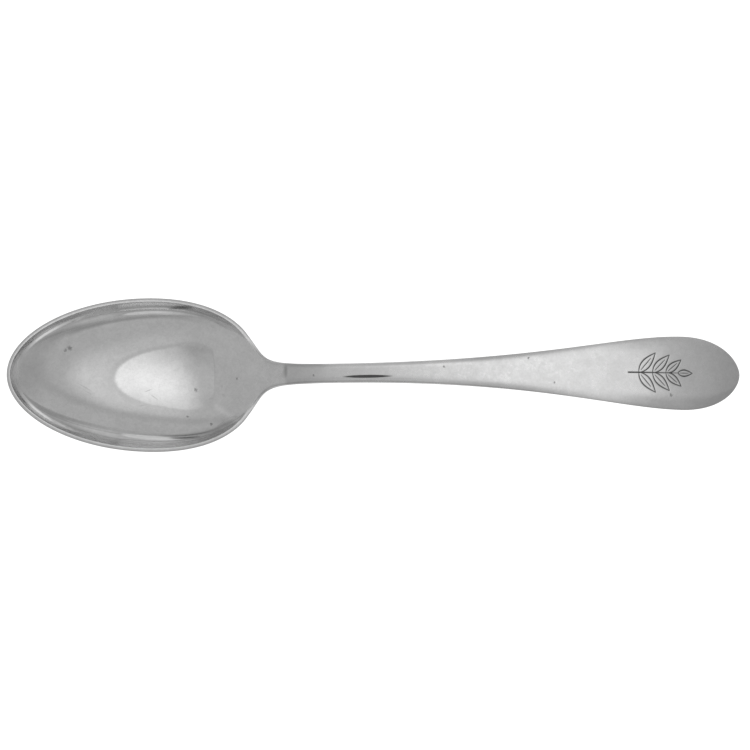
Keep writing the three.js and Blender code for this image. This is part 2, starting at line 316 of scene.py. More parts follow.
def bend(start, leave, stop, arrive, t):
    """Cubic curve from start to stop that leaves along leave and arrives along arrive.

    Points are the Bernstein sum of start, start + leave, stop - arrive and stop; the directions are the unit
    derivative of that sum."""
    a = np.asarray(start, float)
    d = np.asarray(stop, float)
    b = a + np.asarray(leave, float)
    c = d - np.asarray(arrive, float)
    t = np.asarray(t, float)[:, None]
    s = 1.0 - t
    place = s**3 * a + 3 * s**2 * t * b + 3 * s * t**2 * c + t**3 * d
    way = s**2 * (b - a) + 2 * s * t * (c - b) + t**2 * (d - c)
    return place, way / np.linalg.norm(way, axis=1, keepdims=True)


INWARD = np.array([np.cos(SHOULDER_ANGLE), -np.sin(SHOULDER_ANGLE)])
OUTLINE = {
    "tip": (
        (0, 0),
        (0, TIP_HOLD[0] * BOWL_HALF),
        (WIDEST, BOWL_HALF),
        (TIP_HOLD[1] * WIDEST, 0),
    ),
    "heel": (
        (WIDEST, BOWL_HALF),
        (HEEL_HOLD[0] * (SHOULDER - WIDEST), 0),
        (SHOULDER, SHOULDER_HALF),
        INWARD * HEEL_HOLD[1] * (SHOULDER - WIDEST),
    ),
    "neck": (
        (SHOULDER, SHOULDER_HALF),
        INWARD * NECK_HOLD[0] * (WAIST - SHOULDER),
        (WAIST, STEM_HALF),
        (NECK_HOLD[1] * (WAIST - SHOULDER), 0),
    ),
    "grip": (
        (WAIST, STEM_HALF),
        (GRIP_HOLD[0] * (BROADEST - WAIST), 0),
        (BROADEST, HANDLE_HALF),
        (GRIP_HOLD[1] * (BROADEST - WAIST), 0),
    ),
    "end": (
        (BROADEST, HANDLE_HALF),
        (END_HOLD[0] * (END - BROADEST), 0),
        (END, 0),
        (0, -END_HOLD[1] * HANDLE_HALF),
    ),
}


def outline_points(curves, t):
    """Points at the parameters t of these curves of the outline, one curve after another."""
    return np.concatenate([bend(*OUTLINE[curve], t)[0] for curve in curves])


FINE = np.linspace(0, 1, FINE_STEPS + 1)
FINE_LINE = outline_points(OUTLINE, FINE)
BOWL_LINE = outline_points(("tip", "heel", "neck"), np.linspace(0, 1, RIM_SAMPLES))


def half_width(x):
    """Half the spoon's width at x, read off the finely sampled outline."""
    return np.interp(x, FINE_LINE[:, 0], FINE_LINE[:, 1])


def parameter_at(curve, x):
    """The parameter at which one curve of the outline, which always runs along +X, reaches x."""
    return np.interp(x, bend(*OUTLINE[curve], FINE)[0][:, 0], FINE)


def rounded_share(across, squareness, reach):
    """Height of a rounded section as a share of its crown: the root of 1 - f^(squareness / 2).

    f runs from 1 - reach in the middle to 1 at the edge. reach falls to 0 at a rounded end."""
    from_middle = np.maximum(0.0, 1.0 - (1.0 - across * across) * reach)
    return np.sqrt(np.maximum(0.0, 1.0 - from_middle ** (squareness / 2)))


def end_reach():
    """How far the handle's rounded end reaches below its own edge."""
    x, half = bend(*OUTLINE["end"], FINE)[0].T
    under = HANDLE_BELLY * rounded_share(0.0, HANDLE_SQUARENESS, (half / HANDLE_HALF) ** 2)
    return np.max(under + END_SLOPE * (END - x))


EDGE_X = np.array([0, WIDEST, SHOULDER, SEAM, TURN, END])
EDGE_SLOPE = np.array([-2 * TIP_LIFT / WIDEST - RIM_SLOPE, RIM_SLOPE, 0, SEAM_SLOPE, TURN_SLOPE, END_SLOPE])


def edge_line(x, knots):
    """Cubic pieces that pass the edge's knots at their slopes."""
    i = np.clip(np.searchsorted(EDGE_X, x), 1, len(EDGE_X) - 1)
    span = EDGE_X[i] - EDGE_X[i - 1]
    t = (x - EDGE_X[i - 1]) / span
    s = 1.0 - t
    hold = t * s * s * span * EDGE_SLOPE[i - 1] - t * t * s * span * EDGE_SLOPE[i]
    return s * s * (1 + 2 * t) * knots[i - 1] + t * t * (3 - 2 * t) * knots[i] + hold


def heel_blend(x):
    """0 in the bowl and 1 at the seam: how far the hollow has run out into the stem."""
    return ease(x, SHOULDER - HEEL_RUN, SEAM)


def hollow_share(across):
    """Depth across a hollow as a share of its depth in the middle: (1 - v^2) to the power of fullness."""
    return np.maximum(0.0, 1.0 - across * across) ** BOWL_FULLNESS


def inner_share(across):
    """As hollow_share, but from WALL_FROM on along a parabola, so that the wall meets the lip at a slope."""
    run = 1.0 - WALL_FROM
    start = (1.0 - WALL_FROM**2) ** BOWL_FULLNESS
    slope = 2.0 * WALL_FROM * BOWL_FULLNESS * (1.0 - WALL_FROM**2) ** (BOWL_FULLNESS - 1.0)
    past = np.maximum(0.0, np.abs(across) - WALL_FROM)
    wall = start - slope * past - (start - slope * run) * (past / run) ** 2
    return np.where(np.abs(across) < WALL_FROM, hollow_share(across), wall)


def unscaled_depth(x, width_share):
    """Depth along the midline: a power of the width, leaning towards the tip, and run out at the seam."""
    return width_share**DEPTH_POWER * (1 + TIP_LEAN * (WIDEST - x) / WIDEST) * (1 - heel_blend(x))


BOWL_X, BOWL_Y = outline_points(("tip", "heel"), FINE).T
BOWL_SHARE = unscaled_depth(BOWL_X, BOWL_Y / BOWL_HALF)
DEEPEST = BOWL_SHARE.max()
OUTSIDE_DEPTH = BOWL_DEPTH + BOWL_WALL - LIP_DROP
RIM_KNOTS = np.array([TIP_LIFT, 0, -SHOULDER_DROP, SEAM_LIFT, 0, 0])
BELOW_RIM = LIP_DROP + OUTSIDE_DEPTH * BOWL_SHARE / DEEPEST - edge_line(BOWL_X, RIM_KNOTS)
RIM_HEIGHT = BELOW_RIM.max() - BOWL_REST_CUT
EDGE_Z = np.append(RIM_HEIGHT + RIM_KNOTS[:4], [TURN_HEIGHT, end_reach() - END_REST_CUT])


def edge_height(x):
    """Height of the rim and of the handle's edge, with the bowl and the handle's end on the table."""
    return edge_line(x, EDGE_Z)


def inside_height(x, half, across):
    """Height of the bowl's inside: the edge line, less the hollow, plus the crown where that runs out."""
    depth = BOWL_DEPTH * unscaled_depth(x, half / (BOWL_HALF - RIM_WIDTH)) / DEEPEST
    crown = STEM_CROWN * heel_blend(x) * rounded_share(across, STEM_SQUARENESS, 1.0)
    return edge_height(x) - depth * inner_share(across) + crown


def outside_height(x, y):
    """Height of the bowl's outside: the edge line, less the lip, less a hollow deeper by the wall."""
    half = half_width(x)
    across = np.clip(y / np.maximum(half, TINY), -1.0, 1.0)
    depth = OUTSIDE_DEPTH * unscaled_depth(x, half / BOWL_HALF) / DEEPEST
    return edge_height(x) - LIP_DROP * (1 - heel_blend(x)) - depth * hollow_share(across)


def from_rim(x, y):
    """Distance of places in plan from the bowl's outline."""
    away = np.hypot(x[:, None] - BOWL_LINE[:, 0], np.abs(y)[:, None] - BOWL_LINE[:, 1])
    return away.min(axis=1)


def on_inside(x, y):
    """Height of the bowl's inside under a place in plan, taken with the lip's width off the outline."""
    half = half_width(x) - RIM_WIDTH
    return float(inside_height(np.array(x), half, y / half))


def on_handle(x, y):
    """Height of the handle's top over a place in plan."""
    flatness = ease(x, WAIST, BROADEST)
    share = rounded_share(y / half_width(x), mix(STEM_SQUARENESS, HANDLE_SQUARENESS, flatness), 1.0)
    return float(edge_height(np.array(x)) + mix(STEM_CROWN, HANDLE_CROWN, flatness) * share)


def columns(count):
    """Places from -1 to 1 across the spoon, somewhat closer together towards the edges."""
    u = np.linspace(-1, 1, count + 1)
    return mix(u, np.sin(u * np.pi / 2), EDGE_CROWDING)


def stack(x, y, z):
    """Points from coordinates that are spread to one shape."""
    return np.stack(np.broadcast_arrays(x, y, z), -1)


def skin(name, rings):
    """Closed mesh through rings of points, with quads between neighbouring rings and a face over each end.

    A ring runs over the top from -Y to +Y and back underneath. Points of a ring that shrinks to a line or a
    point are merged."""
    count, size, _ = rings.shape
    here = np.arange(count * size).reshape(count, size)
    after = np.roll(here, -1, axis=1)
    quads = np.stack([here[:-1], here[1:], after[1:], after[:-1]], -1).reshape(-1, 4)
    points = (rings.reshape(-1, 3) - (END / 2, 0, 0)) * METRES
    mesh = bpy.data.meshes.new(name)
    mesh.from_pydata(points, [], quads.tolist() + [here[0].tolist(), here[-1][::-1].tolist()])
    work = bmesh.new()
    work.from_mesh(mesh)
    bmesh.ops.remove_doubles(work, verts=work.verts, dist=MERGE_WITHIN)
    work.to_mesh(mesh)
    work.free()
    mesh.validate()
    mesh.shade_smooth()
    mesh.set_sharp_from_angle(angle=SHARP_ANGLE)
    return mesh


def mark(mesh, **amounts):
    """Stores how tarnished and painted with shade, scuffed, and worn by rub and painted with highlight each
    point is, worked out from its own place on the spoon.
    """
    place = np.zeros(len(mesh.vertices) * 3, np.float32)
    mesh.vertices.foreach_get("co", place)
    x, y, z = place.reshape(-1, 3).T.astype(float) / METRES
    for name, amount in amounts.items():
        stored = mesh.attributes.new(name, "FLOAT", "POINT")
        stored.data.foreach_set("value", amount(x + END / 2, y, z).astype(np.float32))


def piece(name, mesh, finish):
    """Puts a mesh in the scene in place of the CAD node of that name."""
    made = bpy.data.objects.new(name + "_silver", mesh)
    bpy.context.scene.collection.objects.link(made)
    mesh.materials.append(finish)
    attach(made, "root")
    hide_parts(name)


def outline_stations(*runs):
    """Places and outward directions along one side of the outline.

    A run is a curve's name, the parameters at which it starts and stops, and its number of steps."""
    parts = [bend(*OUTLINE[curve], np.linspace(first, last, steps + 1)) for curve, first, last, steps in runs]
    place = np.concatenate([parts[0][0]] + [p[0][1:] for p in parts[1:]])
    way = np.concatenate([parts[0][1]] + [p[1][1:] for p in parts[1:]])
    return place, np.stack([-way[:, 1], way[:, 0]], 1)


def gutter(x, y, across):
    """Place across the hollow at which its height is read, so that the wall by the tip has a narrow gutter.

    Coming up the wall, the distance from the rim that is read stays near GUTTER_START until the place is at
    GUTTER_CREST, and catches up at GUTTER_STOP."""
    x, y, across = np.broadcast_arrays(x, y, across)
    away = from_rim(x.ravel(), y.ravel()).reshape(x.shape)
    held = GUTTER_HOLD * (GUTTER_START - GUTTER_CREST)
    read = away + np.interp(away, [GUTTER_STOP, GUTTER_CREST, GUTTER_START], [0.0, held, 0.0])
    part = plateau(x + GUTTER_LEAD * (y < 0), *GUTTER_ALONG)
    ratio = mix(1.0, (read - RIM_WIDTH) / np.maximum(away - RIM_WIDTH, LEAST_RUN), part)
    wall = (away > GUTTER_STOP) & (away < GUTTER_START)
    return np.where(wall, np.sign(across) * (1 - (1 - np.abs(across)) * ratio), across)


def bowl_rings():
    """Rings of the bowl along its outline: hollow, quarter-round lip, and outside, worn flat at 0."""
    place, outward = outline_stations(
        ("tip", 0, 1, TIP_STEPS),
        ("heel", 0, 1, HEEL_STEPS),
        ("neck", 0, parameter_at("neck", SEAM), NECK_STEPS),
    )
    lip = (1 - heel_blend(place[:, 0]))[:, None]
    width = RIM_WIDTH * (1 - ease(place[:, :1], SHOULDER - RIM_RUN_OUT, SEAM))
    inner = place - width * outward
    floor = place - RIM_WIDTH * lip * outward
    x, y = place[:, :1], place[:, 1:]
    inner_x, inner_y = inner[:, :1], np.maximum(inner[:, 1:], 0.0)
    floor_y = np.interp(inner_x, floor[:, 0], np.maximum(floor[:, 1], 0.0))
    across = columns(HOLLOW_COLUMNS)[None]
    hollow = gutter(inner_x, across * inner_y, across)
    inside = stack(inner_x, across * inner_y, inside_height(inner_x, floor_y, hollow))
    turn = np.linspace(0, np.pi / 2, LIP_SAMPLES)[None, 1:-1]
    share = np.sin(turn)
    lip_z = mix(edge_height(inner_x), edge_height(x), share) - LIP_DROP * lip * (1 - np.cos(turn))
    right = stack(mix(inner_x, x, share), mix(inner_y, y, share), lip_z)
    left = (right * (1, -1, 1))[:, ::-1]
    under = columns(OUTSIDE_COLUMNS)[None, ::-1] * y
    outside = stack(x, under, np.maximum(outside_height(x, under), 0.0))
    return np.concatenate([inside, right, outside, left], axis=1)


def lap_stations():
    """Places from the tongue's round tip to the seam and on to the seat: x, half width, belly, reach."""
    turn = np.linspace(0.0, np.pi / 2, TONGUE_SAMPLES)[1:]
    tip_x = TONGUE + TONGUE_HALF * (1 - np.cos(turn))
    tip_half = TONGUE_HALF * np.sin(turn)
    third = (SEAM - TONGUE - TONGUE_HALF) / 3
    at_seam = bend(*OUTLINE["neck"], [parameter_at("neck", SEAM)])
    start = (TONGUE + TONGUE_HALF, TONGUE_HALF)
    t = np.linspace(0, 1, TAPER_SAMPLES)[1:]
    taper = bend(start, (third, 0), at_seam[0][0], at_seam[1][0] * third, t)[0]
    seat_x = np.linspace(SEAM, SEAM + SOLDER_FOOT, SEAT_SAMPLES)[1:]
    x = np.concatenate([tip_x, taper[:, 0], seat_x])
    half = np.concatenate([tip_half, taper[:, 1], half_width(seat_x)])
    belly = mix(TONGUE_BELLY, STEM_BELLY, ease(x, TONGUE, SEAM))
    reach = np.where(x < TONGUE + TONGUE_HALF, (half / TONGUE_HALF) ** 2, 1.0)
    return x, half, belly, reach


def lap_sections(gap, stop):
    """The lap's stations before stop, as columns, with the share of the half width kept below a gap.

    That share is where the tongue's belly is gap deep, from the section's formula turned round. Stations
    where nothing is kept are left out."""
    x, half, belly, reach = (value[:, None] for value in lap_stations())
    f = (1 - (gap / belly) ** 2) ** (2 / STEM_SQUARENESS)
    kept = np.sqrt(np.maximum(0.0, 1 - (1 - f) / np.maximum(reach, TINY)))
    there = np.flatnonzero((kept[:, 0] > 0) & (x[:, 0] < stop))
    return [value[there] for value in (x, half, belly, reach, kept)]


def tongue_rings():
    """Rings of the handle's tongue under the heel, cut to a seat for the solder."""
    x, half, belly, reach, kept = lap_sections(SOLDER_FOOT, END)
    y = columns(TOP_COLUMNS)[None] * half * kept
    seat = stack(x, y, outside_height(x, y) - SOLDER_FOOT)
    v = columns(BELLY_COLUMNS)[None, ::-1] * kept
    belly_z = outside_height(x, v * half) - belly * rounded_share(v, STEM_SQUARENESS, reach)
    return np.concatenate([seat, stack(x, v * half, belly_z)], axis=1)


def handle_rings():
    """Rings of the handle: the tongue, then the stem, the grip and the rounded end, closer by the sprig."""
    over, below = columns(TOP_COLUMNS)[None], columns(BELLY_COLUMNS)[None, ::-1]
    face = parameter_at("neck", SEAM + SOLDER_FOOT)
    sprig_from = parameter_at("grip", SPRIG_MIDDLE - SPRIG_BACK)
    sprig_to = parameter_at("end", SPRIG_MIDDLE + SPRIG_FRONT)
    line, _ = outline_stations(
        ("neck", face, 1, STEM_STEPS),
        ("grip", 0, sprig_from, GRIP_STEPS),
        ("grip", sprig_from, 1, SPRIG_STEPS),
        ("end", 0, sprig_to, BROADEST_STEPS),
        ("end", sprig_to, 1, END_STEPS),
    )
    x, half = line[:, :1], line[:, 1:]
    flatness = ease(x, WAIST, BROADEST)
    squareness = mix(STEM_SQUARENESS, HANDLE_SQUARENESS, flatness)
    reach = np.where(x > BROADEST, (half / HANDLE_HALF) ** 2, 1.0)
    crown = mix(STEM_CROWN, HANDLE_CROWN, flatness) * rounded_share(over, squareness, reach)
    under = mix(STEM_BELLY, HANDLE_BELLY, flatness) * rounded_share(below, squareness, reach)
    top = stack(x, over * half, edge_height(x) + crown - cut_depth(x, over * half))
    bottom = stack(x, below * half, np.maximum(edge_height(x) - under, 0.0))
    return np.concatenate([tongue_rings(), np.concatenate([top, bottom], axis=1)])


def solder_rings():
    """Rings of the solder: a film under the heel along the tongue, then a plate up the neck's shoulder."""
    over, below = columns(SOLDER_COLUMNS)[None], columns(SOLDER_COLUMNS)[None, ::-1]
    x, half, belly, reach, kept = lap_sections(SOLDER_TOP, SEAM + SOLDER_TOP)
    y = over * half * kept
    v = below * kept
    film_top = stack(x, y, outside_height(x, y) - SOLDER_TOP)
    foot = np.minimum(SOLDER_FOOT, belly * rounded_share(v, STEM_SQUARENESS, reach))
    film_foot = stack(x, v * half, outside_height(x, v * half) - foot)
    film = np.concatenate([film_top, film_foot], axis=1)
    x = np.array([[SEAM + SOLDER_TOP], [SEAM + SOLDER_FOOT]])
    half = half_width(x)
    top = edge_height(x) + STEM_CROWN * rounded_share(over, STEM_SQUARENESS, 1.0)
    low = edge_height(x) - np.minimum(SOLDER_FOOT, STEM_BELLY * rounded_share(below, STEM_SQUARENESS, 1.0))
    plate = np.concatenate([stack(x, over * half, top), stack(x, below * half, low)], axis=1)
    return np.concatenate([film, plate])


def leaf(base, length, angle, fullness):
    """Strokes of one leaf: two sides that bow out as fullness * sin(pi t^0.8), and a vein along its middle.

    Each stroke is rows of place along, place across and half width of the cut, thickest near its middle."""
    t = np.linspace(0, 1, LEAF_SAMPLES)
    bow = fullness * np.sin(np.pi * t**0.8)
    swell = np.sin(np.pi * t) ** 0.7
    sides = [np.stack([length * t, side * bow, mix(*LEAF_HALF, swell)], 1) for side in (-1, 1)]
    vein = np.stack([length * mix(*VEIN, t), 0 * t, mix(*VEIN_HALF, swell)], 1)
    c, s = np.cos(np.radians(angle)), np.sin(np.radians(angle))
    turn = np.array([[c, s], [-s, c]])
    return [np.concatenate([p[:, :2] @ turn + (base, 0), p[:, 2:]], 1) for p in (*sides, vein)]


def sprig():
    """Strokes of a laurel sprig: a tapering stalk, pairs of leaves, and a leaf at its end."""
    t = np.linspace(0, 1, STALK_SAMPLES)
    strokes = [np.stack([mix(*STALK, t), 0 * t, mix(*STALK_HALF, t)], 1)]
    for base, length, angle, fullness in LEAF_PAIRS:
        strokes += leaf(base, length, angle, fullness)
        strokes += leaf(base, length, -angle, fullness)
    return strokes + leaf(*END_LEAF)


STROKES = sprig()


def stroke_share(x, y):
    """How far into a cut each place lies, the largest 1 - distance / half width, and that half width."""
    along, across = np.broadcast_arrays(x - SPRIG_MIDDLE, y)
    share, width = np.zeros(along.shape), np.zeros(along.shape)
    near = (np.abs(along) < SPRIG_AREA[0]) & (np.abs(across) < SPRIG_AREA[1])
    p, q = along[near], across[near]
    best, best_width = np.zeros(p.shape), np.zeros(p.shape)
    for stroke in STROKES:
        inside = 1 - np.hypot(p[:, None] - stroke[:, 0], q[:, None] - stroke[:, 1]) / stroke[:, 2]
        nearest = inside.argmax(axis=1)
        deeper = inside.max(axis=1)
        best_width = np.where(deeper > best, stroke[nearest, 2], best_width)
        best = np.maximum(best, deeper)
    share[near], width[near] = best, best_width
    return share, width


def nick_share(x, y):
    """How far into the stem's nick each place lies: a spindle, 1 along its middle and 0 at its edge."""
    along = np.clip(1 - ((x - NICK_ALONG) / NICK_REACH) ** 2, 0.0, 1.0)
    half = NICK_HALF * np.sqrt(along) + TINY
    return along * np.clip(1 - (np.abs(y - NICK_ACROSS) / half) ** 2, 0.0, 1.0)


def cut_depth(x, y):
    """Depth of the cuts in the handle's top: V-shaped strokes as steep as CUT_SLOPE, and the shallow nick."""
    share, width = stroke_share(x, y)
    return CUT_SLOPE * width * share + NICK_DEPTH * nick_share(x, y)


def seam_tarnish(x, y):
    """Darkening beside the seam at the neck: a soft band across it, a little to +Y of the middle."""
    band = np.exp(-(((x - SEAM - SEAM_ALONG[0]) / SEAM_ALONG[1]) ** 2))
    return SEAM_TARNISH * band * np.exp(-(((y - SEAM_ACROSS[0]) / SEAM_ACROSS[1]) ** 4))


def solder_tarnish(x, y, z):
    """Tarnish of the solder, at any height: as dark as the silver beside it."""
    return seam_tarnish(x, y)


def handle_tarnish(x, y, z):
    """Tarnish left in the cuts of the handle's top and beside the seam, and painted shade on the thin stem,
    along the grip's -Y edge and round the end.
    """
    upper = z > edge_height(x)
    cuts = np.maximum(ease(stroke_share(x, y)[0], 0.0, 0.6), ease(nick_share(x, y), 0.0, 0.4))
    # Painted shade: darker on the thin stem by the seam.
    stem = STEM_PAINTED_SHADE * (1 - ease(x, 42.0, WAIST))
    across = y / np.maximum(half_width(x), TINY)
    # Painted shade: a darker band along the grip's -Y edge.
    low_edge = LOW_EDGE_PAINTED_SHADE * ease(-across, 0.55, 0.8) * ease(x, 86.0, 93.0)
    # Painted shade: darker towards the handle's end.
    end = END_PAINTED_SHADE * ease(x, 100.0, END)
    return np.where(upper, np.maximum.reduce([cuts, seam_tarnish(x, y), stem, low_edge, end]), 0.0)


def handle_painted_highlight(x, y, z):
    """Painted highlight on the handle's top: the grip, and the flanks of the stem, more on the +Y flank."""
    from_middle = np.abs(y) / np.maximum(half_width(x), TINY)
    middle = 1 - ease(from_middle, 0.55, 0.85) * ease(x, 84.0, 90.0)
    grip = plateau(x, *GRIP_ALONG) * middle
    # Painted highlight: the +Y flank gets all of it, the -Y flank less until further along the stem.
    side = np.where(y > 0, 1.0, mix(0.2, 0.8, ease(x, 54.0, 62.0)))
    flanks = side * ease(from_middle, 0.4, 0.7) * plateau(x, *FLANKS_ALONG)
    return np.where(z > edge_height(x), np.maximum(grip, flanks), 0.0)


def in_hollow(x, y, z):
    """True on the bowl's inner side: higher than halfway through its wall."""
    return z > outside_height(x, y) + 0.5 * BOWL_WALL


def wall_band(away, near, far):
    """1 between two distances from the rim, eased over BAND_EDGE on either side of each."""
    return plateau(away, near - BAND_EDGE, near + BAND_EDGE, far - BAND_EDGE, far + BAND_EDGE)


def painted_reflection_sliver(x, away, along, start, slope, half):
    """Spindle of painted dark reflection on the wall between two places along: start off the rim at the
    first, nearing it by slope.
    """
    middle, reach = (along[0] + along[1]) / 2, (along[1] - along[0]) / 2
    swell = np.clip(1 - ((x - middle) / reach) ** 2, 0.0, 1.0)
    off = np.abs(away - start + slope * (x - along[0]))
    return swell**0.75 * np.clip(1 - (off / half) ** 2, 0.0, 1.0)


def bowl_tarnish(x, y, z):
    """Tarnish of the bowl's tab by the seam, painted shade on its wall towards the heel, a darker tip, and
    painted reflections.
    """
    away = from_rim(x, y)
    # Painted shade: a darker band on the wall towards the heel.
    wall = WALL_PAINTED_SHADE * wall_band(away, *WALL_BAND) * plateau(x, *WALL_ALONG)
    # Darker on the wall at the very tip.
    tip = TIP_WALL_DARKENING * wall_band(away, *TIP_BAND) * (1 - ease(x, 1.0, 2.2))
    # Painted reflections of dark things in the room, as dark spindles on either wall.
    painted_reflection_slivers = [dark * (side * y > 0) * painted_reflection_sliver(x, away, *shape) for side, dark, *shape in PAINTED_REFLECTION_SLIVERS]
    return np.maximum(seam_tarnish(x, y), in_hollow(x, y, z) * np.maximum.reduce([wall, tip, *painted_reflection_slivers]))


def bowl_scuff(x, y, z):
    """Dulling of the lip by wear, of the wall by the tip, and of the tab as it comes up to the satin stem.

    By the tip the lip's dulling reaches further in, most of all where the gutter runs out."""
    away = from_rim(x, y)
    reach = 0.25 * (1 - ease(x, 10.0, 15.0)) + 0.4 * plateau(x, *RUN_OUT_ALONG)
    lip = LIP_SCUFF * (1 - ease(away - reach, *LIP_BAND)) * (x < SEAM)
    tip = TIP_SCUFF * in_hollow(x, y, z) * wall_band(away, *TIP_BAND) * (1 - ease(x, 1.2, 2.6))
    tab = TAB_SCUFF * ease(x, SHOULDER, SEAM)
    return np.maximum.reduce([lip, tip, tab, RUB_SCUFF * bowl_rub_and_highlight(x, y, z)])


def bowl_rub_and_highlight(x, y, z):
    """Painted highlights as bright crescents on the wall by the tip, and a faint worn streak across the floor
    by the heel.

    The streak fades as a bell with the distance from a straight stretch."""
    far = mix(*CRESCENT_FAR, ease(x, 6.0, 11.0))
    # Painted highlights: bright crescents on the wall by the tip.
    crescent = wall_band(from_rim(x, y), CRESCENT_NEAR, far) * plateau(x, *CRESCENT_ALONG)
    p, q = x - STREAK_START[0], y - STREAK_START[1]
    run_x, run_y = STREAK_RUN
    along = np.clip((p * run_x + q * run_y) / (run_x**2 + run_y**2), 0.0, 1.0)
    off = np.hypot(p - run_x * along, q - run_y * along)
    streak = STREAK_RUB * np.exp(-((off / STREAK_HALF) ** 2))
    return in_hollow(x, y, z) * np.maximum(crescent, streak)


class Nodes:
    """A node tree under construction: makes nodes, and sets or links their sockets."""

    def __init__(self, tree):
        self.tree = tree

    def node(self, kind, inputs=(), **settings):
        """A node of this kind, with its settings, and its inputs set to values or linked to sockets."""
        made = self.tree.nodes.new(kind)
        for key, value in settings.items():
            setattr(made, key, value)
        for key, value in dict(inputs).items():
            if isinstance(value, bpy.types.NodeSocket):
                self.tree.links.new(value, made.inputs[key])
            else:
                made.inputs[key].default_value = value
        return made

    def math(self, operation, a, b):
        """Result of one operation on two values or sockets."""
        return self.node("ShaderNodeMath", {0: a, 1: b}, operation=operation).outputs[0]

    def plus(self, a, b):
        """Sum of two values or sockets."""
        return self.math("ADD", a, b)

    def minus(self, a, b):
        """The first of two values or sockets less the second."""
        return self.math("SUBTRACT", a, b)

    def times(self, a, b):
        """Product of two values or sockets."""
        return self.math("MULTIPLY", a, b)

    def larger(self, a, b):
        """The larger of two values or sockets."""
        return self.math("MAXIMUM", a, b)

    def between(self, a, b, share):
        """A value from a to b as share goes from 0 to 1."""
        return self.plus(self.times(share, self.minus(b, a)), a)

    def length(self, vector):
        """Length of a vector."""
        return self.node("ShaderNodeVectorMath", {0: vector}, operation="LENGTH").outputs["Value"]

    def spread(self, value, low, high, to_low=0.0, to_high=1.0):
        """A value's range from low to high, eased onto another range."""
        inputs = {"Value": value, "From Min": low, "From Max": high, "To Min": to_low, "To Max": to_high}
        return self.node("ShaderNodeMapRange", inputs, interpolation_type="SMOOTHSTEP").outputs["Result"]


class Finish(Nodes):
    """A material under construction."""

    def __init__(self, name):
        self.material = bpy.data.materials.new(name)
        self.material.use_nodes = True
        super().__init__(self.material.node_tree)
        self.shader = self.tree.nodes["Principled BSDF"]

    def feed(self, socket, key):
        """Links a socket to the shader."""
        self.tree.links.new(socket, self.shader.inputs[key])

    def noise(self, place, scale, detail=2.0, roughness=0.5, distortion=0.0):
        """Cloudy noise, with scale in features per millimetre."""
        inputs = {
            "Vector": place,
            "Scale": scale,
            "Detail": detail,
            "Roughness": roughness,
            "Distortion": distortion,
        }
        return self.node("ShaderNodeTexNoise", inputs).outputs["Fac"]

    def stored(self, name):
        """A value stored on the mesh under this name, or 0 where the mesh has none."""
        return self.node("ShaderNodeAttribute", attribute_name=name).outputs["Fac"]

    def blend(self, share, a, b):
        """Colour from a to b as share goes from 0 to 1."""
        return self.node("ShaderNodeMix", {0: share, 6: a, 7: b}, data_type="RGBA").outputs[2]

    def mapped(self, place, **inputs):
        """A place that is scaled, turned and moved, in that order."""
        return self.node("ShaderNodeMapping", {"Vector": place, **inputs}).outputs["Vector"]

    def millimetres(self):
        """Place on the piece in millimetres."""
        place = self.node("ShaderNodeTexCoord").outputs["Object"]
        return self.mapped(place, Scale=(1 / METRES, 1 / METRES, 1 / METRES))

    def scratches(self, place):
        """Fine straight scratches at several angles: noise stretched along each, kept only where it peaks."""
        total = None
        for turn, angle in enumerate(SCRATCH_ANGLES):
            shift = (SCRATCH_SHIFT[0] * turn, SCRATCH_SHIFT[1] * turn, 0)
            turned = self.mapped(place, Rotation=(0, 0, np.radians(angle)), Location=shift)
            drawn = self.mapped(turned, Scale=(1 / SCRATCH_LENGTH, 1 / SCRATCH_WIDTH, 1 / SCRATCH_REACH))
            lines = self.spread(self.noise(drawn, 1.0, 1.0), SCRATCH_PEAK, SCRATCH_PEAK + SCRATCH_EDGE)
            total = lines if total is None else self.larger(total, lines)
        return total

    def bump(self, height, distance, under=None, invert=False):
        """Normals bent by a height, whose 1 is this distance in millimetres, on top of another bump's."""
        inputs = {"Height": height, "Distance": distance * METRES, "Strength": 1.0}
        if under is not None:
            inputs["Normal"] = under
        return self.node("ShaderNodeBump", inputs, invert=invert).outputs["Normal"]


def grey(level):
    """A neutral colour of this lightness."""
    return (level, level, level, 1.0)


def dark_marks(made, place, specks, pits, hairlines):
    """How dark the silver is, from 0 to 1: stored darkening of tarnished places, painted shade and painted
    reflections, round pits with uneven edges, and hairlines.

    A hairline is a long ellipsoid on the surface, darkest along its middle. Half its length and width are
    its radii, and its reach in height keeps it to one side of the metal."""
    dark = made.stored("tarnish")
    uneven = made.spread(specks, 0.2, 0.8, -PIT_UNEVENNESS, PIT_UNEVENNESS)
    for x, y, z, size in pits:
        inputs = {0: place, 1: (x - END / 2, y, z)}
        away = made.node("ShaderNodeVectorMath", inputs, operation="DISTANCE").outputs["Value"]
        pit = made.spread(made.plus(away, uneven), 0.1 * size, size, PIT_DARKNESS, 0.0)
        dark = made.larger(dark, pit)
    for x, y, z, angle, length, width, darkness in hairlines:
        inputs = {
            "Vector": place,
            "Location": (x - END / 2, y, z),
            "Rotation": (0, 0, np.radians(angle)),
            "Scale": (length / 2, width / 2, HAIRLINE_REACH),
        }
        shaped = made.node("ShaderNodeMapping", inputs, vector_type="TEXTURE").outputs["Vector"]
        dark = made.larger(dark, made.spread(made.length(shaped), 1.0, 0.2, 0.0, darkness))
    return dark


